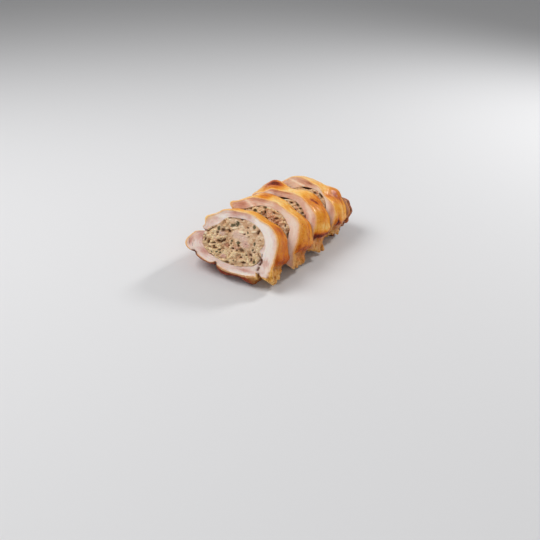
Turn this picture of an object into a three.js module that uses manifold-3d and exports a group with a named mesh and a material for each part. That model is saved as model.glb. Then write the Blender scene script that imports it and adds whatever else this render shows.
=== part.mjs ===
// Stuffed suckling pig: a boned joint rolled round a minced stuffing, roasted, and cut into
// thick slices that lean back on each other in a row, with the rough end piece last.
// Millimetres, +Z up. The row runs along +Y, away from the front slice.
import * as THREE from 'three';
import { mergeVertices } from 'three/addons/utils/BufferGeometryUtils.js';
import Module from 'manifold-3d';

// Driving dimensions
const SLICE_THICKNESS = 23;
const END_THICKNESS = 13;
const CUT_LIFT = 8; // the lower edge of a front cut hangs this far above the resting surface
const END_LIFT = 3;
const PRESSED_FLAT = 1.6; // how deep the sagging foot is pressed in
const CUT_CLEARANCE = 1.2; // from the back of a slice to the mean plane of the next cut
const STUFFING_GAP = 0.3;
const THINNEST_WALL = 2.6; // of meat round the stuffing
const EDGE_ROUNDING = 1.3; // how far the rind curls in at each cut
const RIND_EASING = 1.5; // the rind's rings lie closer together near the front cut
const BELLY_ONSET = 3; // depth over which the rind swells out under the front cut
const MEAT_RELIEF = 0.45;
const RIND_RELIEF = 0.8;
const CRUMB_RELIEF = 0.9;
const FRINGE_RELIEF = 2; // torn edge of the rind low on the right
const END_RELIEF = 1.6;
const WAVES_AROUND = 26;
const SHREDS_AROUND = 72;
const SEED = 5837;

const MEAT_LOOK = { color: 0xd8b29c, roughness: 0.5, metalness: 0 };
const STUFFING_LOOK = { color: 0xb39468, roughness: 0.8, metalness: 0 };
const RIND_LOOK = { color: 0xa35e2c, roughness: 0.4, metalness: 0 };

// Outlines are seen from the front, round the middle of the slice: a half width to the right
// and left, a half height up and down, and lobes of [angle, half width in degrees, height].
// The lobes of a flare grow from nothing at the front cut to their full height at the back, and
// those of the belly swell out just behind the front cut, where the rind bulges underneath.
// Slits are lobes of the gap round the stuffing.
const TORN_EDGE_ANGLE = 322;
const TORN_EDGE_SPREAD = 24;
const BELLY = [[212, 14, 2.5], [250, 24, 3.5], [301, 13, 6]];
const BELLY_MEAN = 2;

const slices = [
  {
    name: 'slice_1',
    x: -9.4, y: -29.3, lift: CUT_LIFT, yaw: 10, lean: 28, roll: 0,
    thickness: SLICE_THICKNESS,
    outline: {
      right: 34.5, left: 35, top: 25.5, bottom: 23.5, squareness: 2.5,
      lobes: [
        [329, 9, 9], [319.5, 2.5, -5], [308, 10, 1], [235, 14, -2], [232, 4, -2.5],
        [203, 2.5, -2], [192, 12, 9.5], [172.5, 3, -6], [164, 6, -3], [140, 14, -2.5],
        [52, 14, -2],
      ],
      flare: [[350, 12, 3], [325, 14, -3]],
    },
    filling: {
      right: 23, left: 28.5, top: 19, bottom: 16.5, squareness: 2.3,
      lobes: [[358, 8, -3], [150, 18, -4.5], [228, 18, -1], [330, 14, 1]],
      slits: [[336, 12, 0.9]],
    },
    around: 96, faceRings: 4, wallRings: 5, fillingRings: 6,
  },
  {
    name: 'slice_2',
    x: -5.4, y: -1.3, lift: CUT_LIFT, yaw: 9, lean: 28, roll: -4,
    thickness: SLICE_THICKNESS,
    outline: {
      right: 32, left: 36, top: 25.5, bottom: 23.5, squareness: 2.5,
      lobes: [
        [331, 9, 6.5], [319.5, 2.5, -3], [300, 14, -2], [192, 12, 6],
        [165, 3, -5], [157, 4, 2], [140, 12, -1.5], [52, 14, -2], [235, 14, -2],
      ],
      flare: [[357, 32, 4.5], [115, 35, 5]],
    },
    filling: {
      right: 21, left: 27, top: 19, bottom: 16, squareness: 2.3,
      lobes: [[20, 12, 1.5], [140, 20, -2], [228, 18, -2]],
      slits: [[5, 14, 0.6]],
    },
    around: 80, faceRings: 3, wallRings: 4, fillingRings: 3,
  },
  {
    name: 'slice_3',
    x: -4.9, y: 25.2, lift: CUT_LIFT, yaw: 8, lean: 28, roll: -3,
    thickness: SLICE_THICKNESS,
    outline: {
      right: 31, left: 36, top: 23, bottom: 23.5, squareness: 2.5,
      lobes: [
        [333, 9, 5], [319.5, 2.5, -3], [300, 14, -4], [192, 12, 6],
        [165, 3, -5], [145, 12, -2.5], [40, 16, -1.5], [235, 14, -2],
      ],
      flare: [[138, 26, 12], [70, 34, 5], [0, 45, 4.5]],
    },
    filling: {
      right: 19.5, left: 26, top: 17, bottom: 16, squareness: 2.3,
      lobes: [[140, 20, -2], [228, 18, -2]],
      slits: [[104, 18, 1.4]],
    },
    around: 80, faceRings: 3, wallRings: 4, fillingRings: 3,
  },
  {
    name: 'slice_4',
    x: -1, y: 53.2, lift: CUT_LIFT, yaw: 7, lean: 27, roll: -2,
    thickness: SLICE_THICKNESS,
    outline: {
      right: 31, left: 32, top: 22.5, bottom: 23.5, squareness: 2.5,
      lobes: [
        [331, 9, 2], [300, 14, -3], [192, 12, 3], [120, 25, 3], [38, 26, -6.5],
        [235, 14, -2],
      ],
      flare: [[48, 20, 6.5], [20, 25, 3], [95, 25, 2]],
    },
    filling: {
      right: 19, left: 24, top: 17, bottom: 15.5, squareness: 2.3,
      lobes: [[140, 20, -2], [228, 18, -2]],
      slits: [[98, 18, 1.6], [5, 25, 1.2]],
    },
    around: 80, faceRings: 3, wallRings: 4, fillingRings: 3,
  },
];

const endPiece = {
  name: 'end_piece',
  x: 3.1, y: 78.2, lift: END_LIFT, yaw: 6, lean: 26, roll: 0, thickness: END_THICKNESS,
  outline: {
    right: 23.5, left: 28, top: 15, bottom: 19, squareness: 2.3,
    lobes: [[10, 14, 3], [34, 11, 2.2], [62, 9, -1], [150, 14, 2], [320, 12, 2]],
    flare: [],
  },
  filling: {
    right: 16, left: 17, top: 9, bottom: 11, squareness: 2.2,
    lobes: [[120, 20, 1.5]],
    slits: [],
  },
  around: 56, faceRings: 2, wallRings: 4, fillingRings: 2,
  pocketDepth: 0.55, dome: 0.35,
};

const wasm = await Module();
wasm.setup();

const radians = THREE.MathUtils.degToRad;

// Repeatable value from -1 to 1 at a whole-number point of a grid
function gridValue(i, j, k) {
  let hash = Math.imul(i, 374761393) + Math.imul(j, 668265263) + Math.imul(k, 1440662683) + SEED;
  hash = Math.imul(hash ^ (hash >>> 13), 1274126177);
  return ((hash ^ (hash >>> 16)) >>> 0) / 2147483648 - 1;
}

// Smooth noise from -1 to 1, one bump to each unit of x, y and z
function noise(x, y, z) {
  const [i, j, k] = [x, y, z].map(Math.floor);
  const [u, v, w] = [x - i, y - j, z - k].map((t) => t * t * (3 - 2 * t));
  const edge = (b, c) => THREE.MathUtils.lerp(gridValue(i, b, c), gridValue(i + 1, b, c), u);
  const side = (c) => THREE.MathUtils.lerp(edge(j, c), edge(j + 1, c), v);
  return THREE.MathUtils.lerp(side(k), side(k + 1), w);
}

// Noise that closes on itself round a slice, with about this many bumps in a turn
function roundNoise(angle, bumps, along, seed) {
  const reach = bumps / (2 * Math.PI);
  const turn = radians(angle);
  return noise(reach * Math.cos(turn) + seed, reach * Math.sin(turn), along + seed);
}

function lobe(angle, centre, halfWidth) {
  const away = ((angle - centre + 540) % 360) - 180;
  return Math.exp(-((away / halfWidth) ** 2));
}

// Distance from the middle to a superellipse with lobes, at an angle in degrees from 0 to 360
function outlineRadius(outline, angle) {
  const across = Math.cos(radians(angle));
  const up = Math.sin(radians(angle));
  const width = across > 0 ? outline.right : outline.left;
  const height = up > 0 ? outline.top : outline.bottom;
  const power = outline.squareness;
  let radius = (Math.abs(across / width) ** power + Math.abs(up / height) ** power) ** (-1 / power);
  for (const [centre, halfWidth, rise] of outline.lobes) {
    radius += rise * lobe(angle, centre, halfWidth);
  }
  return radius;
}

function fillingRadius(slice, angle) {
  const free = outlineRadius(slice.filling, angle);
  return Math.min(free, outlineRadius(slice.outline, angle) - THINNEST_WALL);
}

// Gap between the stuffing and the meat, wider along the slits where it has shrunk in the oven
function stuffingGap(slice, angle) {
  let gap = STUFFING_GAP;
  for (const [centre, halfWidth, width] of slice.filling.slits) {
    gap += width * lobe(angle, centre, halfWidth);
  }
  return gap;
}

// Relief of a cut face of meat, and of the crumbly stuffing
function meatRelief(slice, x, y) {
  return MEAT_RELIEF * noise(x / 8, y / 8, slice.seed);
}

function crumbRelief(slice, x, y) {
  const lumps = noise(x / 5, y / 5, slice.seed + 0.5);
  const grains = noise(x / 2.6, y / 2.6, slice.seed + 7.5);
  return CRUMB_RELIEF * (0.5 * lumps + 0.5 * grains);
}

// How far the rind stands out at an angle and a depth: rounded cuts, waves and the torn edge
function rindRelief(slice, angle, depth) {
  let curl = EDGE_ROUNDING * (Math.sqrt(Math.sin(Math.PI * depth)) - 1);
  for (const [centre, halfWidth, rise] of slice.outline.flare) {
    curl += rise * depth * lobe(angle, centre, halfWidth);
  }
  const swell = 1 - Math.exp((-depth * slice.thickness) / BELLY_ONSET);
  for (const [centre, halfWidth, rise] of BELLY) {
    curl += rise * swell * lobe(angle, centre, halfWidth);
  }
  const along = depth * slice.thickness;
  const waves = RIND_RELIEF * roundNoise(angle, WAVES_AROUND, along / 7, slice.seed + 3.5);
  const torn = lobe(angle, TORN_EDGE_ANGLE, TORN_EDGE_SPREAD);
  const shreds = FRINGE_RELIEF * roundNoise(angle, SHREDS_AROUND, along / 5, slice.seed + 9.5);
  return curl + waves + torn * shreds;
}

// A frame at the middle of the front cut: x to the right, y up the cut, z out of it
function sliceFrame(slice) {
  const foot = new THREE.Group();
  foot.position.set(slice.x, slice.y, slice.lift);
  foot.rotation.set(Math.PI / 2 - radians(slice.lean), 0, radians(slice.yaw), 'ZYX');
  const middle = new THREE.Group();
  middle.position.set(0, slice.outline.bottom, 0);
  middle.rotation.z = radians(slice.roll);
  foot.add(middle);
  foot.updateMatrixWorld(true);
  return { foot, middle };
}

function cutPlane(middle) {
  const outward = new THREE.Vector3(0, 0, 1).transformDirection(middle.matrixWorld);
  const point = new THREE.Vector3().setFromMatrixPosition(middle.matrixWorld);
  return new THREE.Plane().setFromNormalAndCoplanarPoint(outward, point);
}

// Thickness of a slice behind the point x, y of its front cut, up to the cut of the next one
function thicknessAt(slice, x, y) {
  if (!slice.nextCut) return slice.thickness;
  const start = new THREE.Vector3(x, y, 0).applyMatrix4(slice.frame.middle.matrixWorld);
  const back = new THREE.Vector3(0, 0, -1).transformDirection(slice.frame.middle.matrixWorld);
  const free = new THREE.Ray(start, back).distanceToPlane(slice.nextCut) - CUT_CLEARANCE;
  return Math.min(slice.thickness, free);
}

// The lower half sags with depth, so that the leaning slice stands on a broad foot
function sag(slice, y, behind) {
  if (y > 0) return y;
  const lean = radians(slice.lean);
  const room = slice.outline.bottom + slice.lift / Math.cos(lean) - behind * Math.tan(lean);
  return y * Math.min(1, (room + PRESSED_FLAT) / (slice.outline.bottom + BELLY_MEAN));
}

// A profile is a list of [radial share, depth share]: 0 to 1 spans the stuffing from the middle
// to its edge, 1 to 2 spans the meat from there to the rind, and depth runs from cut to cut.
function span(from, to, steps, easing = 1) {
  const points = [];
  for (let i = 0; i < steps; i += 1) {
    const t = (i / steps) ** easing;
    points.push([
      THREE.MathUtils.lerp(from[0], to[0], t),
      THREE.MathUtils.lerp(from[1], to[1], t),
    ]);
  }
  return points;
}

function meatProfile(slice) {
  const front = span([1, 0], [2, 0], slice.faceRings);
  const rind = span([2, 0], [2, 1], slice.wallRings, RIND_EASING);
  if (slice.pocketDepth) {
    const floor = span([0, slice.pocketDepth], [1, slice.pocketDepth], 2);
    const pocket = span([1, slice.pocketDepth], [1, 0], 1);
    return [...floor, ...pocket, ...front, ...rind, ...span([2, 1], [0, 1], 5), [0, 1]];
  }
  const rear = span([2, 1], [1, 1], 2);
  return [...front, ...rind, ...rear, ...span([1, 1], [1, 0], 2), [1, 0]];
}

function fillingProfile(slice) {
  const end = slice.pocketDepth ?? 1;
  const front = span([0, 0], [1, 0], slice.fillingRings);
  const wall = span([1, 0], [1, end], 2);
  return [...front, ...wall, ...span([1, end], [0, end], 1), [0, end]];
}

// Turns a profile round the middle of a slice, then moves each vertex to its true place
function turned(profile, around, placeVertex) {
  const points = profile.map(([radial, depth]) => new THREE.Vector2(radial, -depth));
  const lathe = new THREE.LatheGeometry(points, around);
  lathe.deleteAttribute('normal');
  lathe.deleteAttribute('uv');
  const geometry = mergeVertices(lathe, 1e-4);
  const position = geometry.getAttribute('position');
  for (let i = 0; i < position.count; i += 1) {
    const across = position.getX(i);
    const up = position.getZ(i);
    const angle = (THREE.MathUtils.radToDeg(Math.atan2(up, across)) + 360) % 360;
    const place = placeVertex(angle, Math.hypot(across, up), -position.getY(i));
    position.setXYZ(i, place.x, place.y, place.z);
  }
  return geometry;
}

function placeInSlice(slice, angle, radius, depth, relief) {
  const x = radius * Math.cos(radians(angle));
  const y = radius * Math.sin(radians(angle));
  const behind = depth * thicknessAt(slice, x, y);
  return new THREE.Vector3(x, sag(slice, y, behind), -behind - relief);
}

function meatGeometry(slice) {
  return turned(meatProfile(slice), slice.around, (angle, radial, depth) => {
    const inner = fillingRadius(slice, angle);
    const outer = outlineRadius(slice.outline, angle);
    if (radial <= 1.001 && depth > 0 && slice.pocketDepth && depth < 1) {
      return placeInSlice(slice, angle, radial * inner, depth, 0);
    }
    const share = Math.max(0, radial - 1);
    const rind = share ** 3 * rindRelief(slice, angle, depth);
    const radius = Math.min(radial, 1) * inner + share * (outer - inner) + rind;
    const x = radius * Math.cos(radians(angle));
    const y = radius * Math.sin(radians(angle));
    const relief = depth < 0.5 ? meatRelief(slice, x, y) : 0;
    const domed = slice.dome ? domedDepth(slice, x, y, radial, depth) : depth;
    return placeInSlice(slice, angle, radius, domed, relief);
  });
}

// The rough closed back of the end piece falls away towards its rim
function domedDepth(slice, x, y, radial, depth) {
  const fall = slice.dome * (radial / 2) ** 4;
  const rough = (END_RELIEF / slice.thickness) * noise(x / 6, y / 6, slice.seed + 5.5);
  return depth * (1 - fall + rough * depth);
}

function fillingGeometry(slice) {
  return turned(fillingProfile(slice), slice.around, (angle, radial, depth) => {
    const radius = radial * (fillingRadius(slice, angle) - stuffingGap(slice, angle));
    const x = radius * Math.cos(radians(angle));
    const y = radius * Math.sin(radians(angle));
    const inside = slice.pocketDepth ? depth * 0.94 : depth;
    const relief = depth < 0.5 ? crumbRelief(slice, x, y) : 0;
    return placeInSlice(slice, angle, radius, inside, relief);
  });
}

function toSolid(geometry) {
  const vertProperties = new Float32Array(geometry.getAttribute('position').array);
  const triVerts = new Uint32Array(geometry.index.array);
  return new wasm.Manifold(new wasm.Mesh({ numProp: 3, vertProperties, triVerts }));
}

function toGeometry(solid) {
  const { vertProperties, triVerts } = solid.getMesh();
  const geometry = new THREE.BufferGeometry();
  geometry.setAttribute('position', new THREE.BufferAttribute(vertProperties, 3));
  geometry.setIndex(new THREE.BufferAttribute(triVerts, 1));
  geometry.computeVertexNormals();
  return geometry;
}

// Flattens what would reach below the resting surface
function pressedFlat(geometry, middle) {
  const size = 400;
  const below = new THREE.BoxGeometry(size, size, size).translate(0, 0, -size / 2);
  below.applyMatrix4(middle.matrixWorld.clone().invert());
  below.deleteAttribute('normal');
  below.deleteAttribute('uv');
  return toGeometry(toSolid(geometry).subtract(toSolid(mergeVertices(below))));
}

function addPiece(slice, suffix, geometry, look) {
  const mesh = new THREE.Mesh(
    pressedFlat(geometry, slice.frame.middle),
    new THREE.MeshStandardMaterial(look),
  );
  mesh.name = `${slice.name}_${suffix}`;
  slice.frame.middle.add(mesh);
}

const row = [...slices, endPiece];
row.forEach((slice, index) => {
  slice.seed = 10 * index;
  slice.frame = sliceFrame(slice);
});
row.forEach((slice, index) => {
  const next = row[index + 1];
  slice.nextCut = next ? cutPlane(next.frame.middle) : null;
});

const group = new THREE.Group();
for (const slice of row) {
  addPiece(slice, 'meat', meatGeometry(slice), slice.dome ? RIND_LOOK : MEAT_LOOK);
  addPiece(slice, 'stuffing', fillingGeometry(slice), STUFFING_LOOK);
  group.add(slice.frame.foot);
}

// The origin is under the middle of the whole row
const bounds = new THREE.Box3().setFromObject(group, true);
const middleOfRow = bounds.getCenter(new THREE.Vector3());
group.position.set(-middleOfRow.x, -middleOfRow.y, -bounds.min.z);
group.updateMatrixWorld(true);

export default group;
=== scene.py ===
import bpy
import numpy as np
from mathutils import Matrix, Vector


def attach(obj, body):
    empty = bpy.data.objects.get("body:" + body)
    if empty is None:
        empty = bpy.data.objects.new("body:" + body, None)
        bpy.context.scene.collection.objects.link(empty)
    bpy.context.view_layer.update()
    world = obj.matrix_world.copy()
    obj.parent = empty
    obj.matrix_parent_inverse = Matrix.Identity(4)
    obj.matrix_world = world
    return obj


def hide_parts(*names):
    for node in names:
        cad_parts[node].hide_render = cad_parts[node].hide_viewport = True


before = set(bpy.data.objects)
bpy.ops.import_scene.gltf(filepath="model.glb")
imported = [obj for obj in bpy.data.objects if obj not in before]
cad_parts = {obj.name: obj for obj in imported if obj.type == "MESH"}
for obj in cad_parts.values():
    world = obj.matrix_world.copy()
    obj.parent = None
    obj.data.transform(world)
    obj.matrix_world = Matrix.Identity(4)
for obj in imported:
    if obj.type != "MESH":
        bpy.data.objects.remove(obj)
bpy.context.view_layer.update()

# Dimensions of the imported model, repeated so that the fine meshes lie where its solids are
ORIGIN = (14.3653, -35.9156, 0)
SLICE_THICKNESS = 23
END_THICKNESS = 13
CUT_LIFT = 8
END_LIFT = 3
PRESSED_FLAT = 1.6
CUT_CLEARANCE = 1.2
THINNEST_WALL = 2.6
EDGE_ROUNDING = 1.3
BELLY_ONSET = 3
MEAT_RELIEF = 0.45
RIND_RELIEF = 0.8
CRUMB_RELIEF = 0.9
CRUMB_DEPTH = 1.1
FRINGE_RELIEF = 2
END_RELIEF = 1.6
WAVES_AROUND = 26
SHREDS_AROUND = 72
SEED = 5837
TORN_EDGE_ANGLE = 322
TORN_EDGE_SPREAD = 24
BELLY = [[212, 14, 2.5], [250, 24, 3.5], [301, 13, 6]]
BELLY_MEAN = 2

# Sizes of the fine meshes
STUFFING_GAP = 0.08
SLICE_AROUND = 480
END_AROUND = 400
WALL_RINGS = 8
RANDOM_SPOTS = 26

# Marks on a cut are given as seen from the front, from the middle of the slice.
# A stroke is [path, width, depth]; a spot is [x, y, half width, half height, tilt in degrees].
# A fold is the path of a raised edge in the stuffing. Where the rind is turned over the edge of
# the cut, and where the skin is thick, the values are [angle, half width, how much wider].
# browning_and_shade is how roasted the rind is, from 0, pale, to 1, nearly black, at angles round the slice; its
# high values under the slice, from about 205 to 312 degrees, are partly painted shade.
# A zone changes it at a place: [angle, half width in degrees, distance from the cut, half width,
# change].
SLICES = [
    {
        "name": "slice_1",
        "x": -9.4, "y": -29.3, "lift": CUT_LIFT, "yaw": 10, "lean": 28, "roll": 0,
        "thickness": SLICE_THICKNESS,
        "outline": {
            "right": 34.5, "left": 35, "top": 25.5, "bottom": 23.5, "squareness": 2.5,
            "lobes": [
                [329, 9, 9], [319.5, 2.5, -5], [308, 10, 1], [235, 14, -2], [232, 4, -2.5],
                [203, 2.5, -2], [192, 12, 9.5], [172.5, 3, -6], [164, 6, -3], [140, 14, -2.5],
                [52, 14, -2],
            ],
            "flare": [[350, 12, 3], [325, 14, -3]],
        },
        "filling": {
            "right": 23, "left": 28.5, "top": 19, "bottom": 16.5, "squareness": 2.3,
            "lobes": [[358, 8, -3], [150, 18, -4.5], [228, 18, -1], [330, 14, 1]],
            "slits": [[336, 12, 0.9]],
        },
        "grid": 240, "rear_rings": 16,
        "cracks": [
            [[(-32, 4.6), (-28, 4.4), (-25, 4.2), (-23, 6.5), (-19, 9)], 0.5, 0.8],
            [[(19, -3.2), (21.6, -6.4)], 0.45, 0.5], [[(22.3, -3), (22.6, -4.6)], 0.5, 0.4],
            [[(22.3, -7), (22.9, -8.6), (22, -10.8)], 1, 1.4],
            [[(21.9, -13.4), (21.3, -15.2)], 0.85, 0.7], [[(22.6, -17.8), (24, -20.4)], 0.8, 1],
            [[(-39.3, -5), (-38.6, -9)], 0.3, 0.25],
            [[(-35.6, -4.6), (-35.2, -6)], 0.3, 0.25],
            [[(-36, -8), (-35.6, -10)], 0.3, 0.25],
            [[(-10, 17.2), (-6, 17.8), (0, 18.6), (3, 19)], 0.4, 0.15],
        ],
        "fat_lines": [
            [[(-21, 18), (-15, 17.4), (-11, 16.4)], 1.3, 0],
            [[(14, 20), (20, 15), (25, 9), (27, 2), (25, -3)], 3.6, 0],
            [[(0, -21.4), (8, -21), (16, -20.2)], 0.9, 0],
        ],
        "blushes": [
            [26.5, -8.5, 2.4, 3, 0], [21.5, 2, 1.6, 3, 0], [-4, 22, 9, 2, 6], [-30, 0, 4, 4, 20],
            [12, -18, 7, 1.2, 0], [-24, -11.5, 4.5, 1.8, -12], [-38, -6, 2, 3, 0],
        ],
        "pits": [
            [-12.8, 7.7, 1.2, 1.2, 0], [-7.2, 8, 1, 0.8, 0], [-17, 5, 0.8, 0.7, 30],
            [15.7, 12, 0.9, 1.6, -20], [-15, -0.9, 1.2, 0.9, 10], [-11.4, -0.1, 2.9, 0.8, 40],
            [-22.8, -3.8, 0.8, 1.2, 0], [-26, -2.4, 0.5, 1.5, 0], [-18.3, -3.5, 1.5, 0.5, 10],
            [-16.7, -7, 1.2, 0.6, 20], [-4.2, -0.9, 0.6, 0.6, 0], [2.3, -1.2, 0.7, 0.7, 0],
            [-2, -4.2, 0.9, 0.7, 0], [5.4, -3.9, 1.7, 1.2, 0], [13.4, -5.7, 1.4, 0.9, -14],
            [6, -9.2, 1.2, 0.5, 24], [9.1, -12.5, 1.6, 0.7, 6], [0.2, 18.3, 0.8, 0.4, 0],
            [-12.4, -7.6, 1.1, 0.6, 0], [14.6, -9, 0.5, 1.1, 0], [-4.4, -15.4, 1.4, 0.5, 8],
        ],
        "herbs": [
            [-5.6, 12.9, 2.2, 1.5, 24], [-2, 14.7, 1.6, 2, 10], [-16.6, 8.3, 1.2, 1.7, 0],
            [11.8, 15.3, 1.3, 1.6, 20], [1.8, 1, 1.2, 1.5, -10], [-3.8, 1.3, 0.7, 1, 0],
            [14.8, 3, 0.8, 1.5, 10], [17.4, -10.2, 1.2, 1.2, 0], [14.4, -2, 0.6, 1.2, 0],
            [-14, -9.6, 1.4, 0.5, 20], [-18.4, -10.4, 1, 0.5, -20], [7.8, 10, 0.6, 0.9, 20],
        ],
        "lumps": [
            [-0.6, 6.6, 4.2, 3, 0], [4.6, 5, 4.6, 3.4, -14], [7.4, 1, 3.4, 2.8, -20],
            [-13, 5.2, 2.6, 1.8, 0], [-8.1, -11.4, 2.3, 1.6, 10],
        ],
        "rosy": [
            [8.4, 0.6, 3, 2, 20], [0.6, -3.2, 3, 1.4, 0], [-8, -2.8, 2.4, 1.4, 0],
            [-8.1, -11.4, 2, 1.3, 10],
        ],
        "fat_bits": [
            [-26.8, 2.6, 1.7, 1.2, -40], [2.6, 9.4, 2.2, 1, 0], [-3.6, 11, 2.6, 0.6, 20],
            [12.2, 11.6, 2, 0.8, 20], [-17.4, -14.6, 1, 1.4, 0],
        ],
        "folds": [
            [(-14.5, -11.8), (-12, -9.4), (-8, -8.8), (-4.8, -10.2), (-3.6, -12.4), (-6, -14.2)],
            [(-6, -14.2), (-10.4, -14.8), (-14.6, -13.2), (-14.5, -11.8)],
            [(-3.6, -12.4), (-1.2, -9.4), (-1.6, -6.6), (3, -6.4), (8, -6), (11.4, -8.4)],
            [(11.4, -8.4), (12.6, -11), (16, -13.2), (19.4, -11.4), (18.6, -7.6), (16, -5.4)],
            [(-16.4, 0.8), (-13, 2), (-10, 3.4)], [(-25, 0.6), (-22, 1.8), (-19.6, -0.6)],
            [(-19.6, -0.6), (-21, -2.6), (-16.6, -4.8), (-12.4, -3.6)],
            [(-27, -5.6), (-24.4, -4.8), (-21, -5.8), (-18.4, -5.4), (-14.4, -5.6)],
            [(-23.4, -8.8), (-19, -8.6), (-15, -8.8), (-12, -6)], [(3.4, -4.8), (7.4, -2)],
            [(-22, 5.6), (-18.6, 6.4), (-18.4, 3)], [(6, -12.4), (9, -11), (12, -11.8)],
        ],
        "burns": [[-33, -14.1, 2.6, 1.5, -24], [-13.4, -18.6, 1.2, 1.6, 10]],
        "thick_skin": [[333, 9, 2.6], [152, 9, 2.8], [188, 9, 1]],
        "turned": [[330, 8, 7], [203, 5, 0.6], [154, 5, 1.2]],
        "grooves": [],
        "flap": [346, 0.25, 0.04], "tips": [[327, 7, 5.5, 3.6, 4.6]],
        "flesh": 0.34, "warmth": 0.1, "looseness": 0, "mottling": 0.5,
        "browning_and_shade": [
            [0, 0.62], [10, 0.6], [20, 0.56], [30, 0.62], [50, 0.5], [60, 0.42], [80, 0.36],
            [100, 0.3], [112, 0.52], [122, 0.44], [140, 0.3], [165, 0.36], [190, 0.48],
            [205, 0.86], [235, 0.84], [255, 0.92], [312, 0.9], [324, 0.6], [334, 0.56],
            [345, 0.72], [352, 0.76],
        ],
        "zones": [
            [30, 7, 10, 4, 0.16], [12, 9, 10, 5, 0.08], [40, 6, 14, 4, -0.16],
            [330, 6, 4, 3, 0.2],
        ],
    },
    {
        "name": "slice_2",
        "x": -5.4, "y": -1.3, "lift": CUT_LIFT, "yaw": 9, "lean": 28, "roll": -4,
        "thickness": SLICE_THICKNESS,
        "outline": {
            "right": 32, "left": 36, "top": 25.5, "bottom": 23.5, "squareness": 2.5,
            "lobes": [
                [331, 9, 6.5], [319.5, 2.5, -3], [300, 14, -2], [192, 12, 6],
                [165, 3, -5], [157, 4, 2], [140, 12, -1.5], [52, 14, -2], [235, 14, -2],
            ],
            "flare": [[357, 32, 4.5], [115, 35, 5]],
        },
        "filling": {
            "right": 21, "left": 27, "top": 19, "bottom": 16, "squareness": 2.3,
            "lobes": [[20, 12, 1.5], [140, 20, -2], [228, 18, -2]],
            "slits": [[5, 14, 0.6]],
        },
        "grid": 200, "rear_rings": 16,
        "cracks": [
            [[(-30, 9), (-24, 10.5), (-17, 12.5)], 0.5, 0.4],
            [[(20.6, 6), (21.8, 1)], 0.5, 0.6],
        ],
        "fat_lines": [
            [[(-24, 21), (-17, 17.5), (-12, 15)], 1, 0], [[(17, 19), (24, 9), (27, -8)], 5, 0],
        ],
        "blushes": [[-8, 23, 8, 2, 10], [-24, 14, 5, 3, 20]],
        "pits": [
            [-7.5, 11, 1.2, 1, 0], [8.5, 12.5, 1.6, 0.7, 20], [13, 17, 1.4, 0.9, -30],
            [-2, 15, 0.8, 1, 0], [0, 10.2, 1.2, 0.6, 0], [15.5, 15, 0.7, 1.3, 20],
            [-8.8, 17.8, 1.6, 0.8, 20], [5, 16, 1.2, 0.5, 0], [17, 9.5, 0.6, 1.2, 20],
            [21, 3.6, 0.8, 1.6, 20], [-15, 14, 1.2, 0.6, 10],
        ],
        "herbs": [
            [-10.5, 13, 1.4, 1.6, 30], [-3, 18, 1.6, 1, 0], [9, 19.2, 2, 1, 24],
            [10, 8, 1, 0.8, 0], [-18, 6, 1.2, 1, 0], [14.8, -6, 1, 1.2, 0],
        ],
        "lumps": [[-4, 2, 6, 4, 0]],
        "rosy": [[4, 13, 6, 3, -20], [-4, 8, 5, 3, 0], [10, 8, 4, 4, 0]],
        "fat_bits": [[17.6, 8.4, 0.8, 1.8, -10], [0.5, 18.6, 2, 0.7, 10]],
        "folds": [
            [(-12, 15), (-6, 13.4), (-3, 16)], [(2, 12.4), (6, 14.4), (11, 14)],
            [(12, 10), (16, 12), (18, 8)], [(4, 18.8), (8, 17.2)],
        ],
        "burns": [], "thick_skin": [[335, 8, 1.5], [161, 6, 2.6]], "turned": [[161, 4, 1]],
        "grooves": [[18, 24, 15, 0.8, 0.25]],
        "flap": [345, 0.6, 0], "tips": [[338, 4, 16, 2.5, 2.6], [331, 5, 5, 3, 1.5]],
        "flesh": 0.46, "warmth": 0.5, "looseness": 0.9, "mottling": 1,
        "browning_and_shade": [
            [0, 0.6], [10, 0.54], [20, 0.56], [30, 0.54], [40, 0.46], [50, 0.34], [60, 0.4],
            [70, 0.22], [80, 0.2], [92, 0.26], [102, 0.6], [110, 0.62], [120, 0.4],
            [140, 0.28], [160, 0.4], [195, 0.5], [230, 0.72], [255, 0.86], [312, 0.88],
            [330, 0.74], [345, 0.72], [352, 0.76],
        ],
        "zones": [[59, 4, 13, 2.4, 0.36], [353, 5, 9, 4, 0.1], [36, 6, 10, 6, -0.08]],
    },
    {
        "name": "slice_3",
        "x": -4.9, "y": 25.2, "lift": CUT_LIFT, "yaw": 8, "lean": 28, "roll": -3,
        "thickness": SLICE_THICKNESS,
        "outline": {
            "right": 31, "left": 36, "top": 23, "bottom": 23.5, "squareness": 2.5,
            "lobes": [
                [333, 9, 5], [319.5, 2.5, -3], [300, 14, -4], [192, 12, 6],
                [165, 3, -5], [145, 12, -2.5], [40, 16, -1.5], [235, 14, -2],
            ],
            "flare": [[138, 26, 12], [70, 34, 5], [0, 45, 4.5]],
        },
        "filling": {
            "right": 19.5, "left": 26, "top": 17, "bottom": 16, "squareness": 2.3,
            "lobes": [[140, 20, -2], [228, 18, -2]],
            "slits": [[104, 18, 1.4]],
        },
        "grid": 150, "rear_rings": 16,
        "cracks": [[[(18.6, 8), (20, 4)], 0.5, 0.5]],
        "fat_lines": [
            [[(-24, 19), (-18, 17.5), (-12, 16)], 1, 0], [[(17, 17), (23, 9), (26, -8)], 1.8, 0],
        ],
        "blushes": [[-6, 21.5, 9, 1.8, 6]],
        "pits": [
            [7, 17.5, 0.8, 1.6, 20], [10, 14, 1.4, 0.7, -30], [13, 12, 1, 0.7, 0],
            [4, 14.5, 1.2, 0.6, 0], [15.5, 9, 0.7, 1, 0],
        ],
        "herbs": [[8.6, 16, 0.9, 1.3, 0], [-6, 12, 1.4, 1, 0], [13, 5, 1, 1, 0]],
        "lumps": [[-4, 6, 6, 4, 0]],
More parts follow.
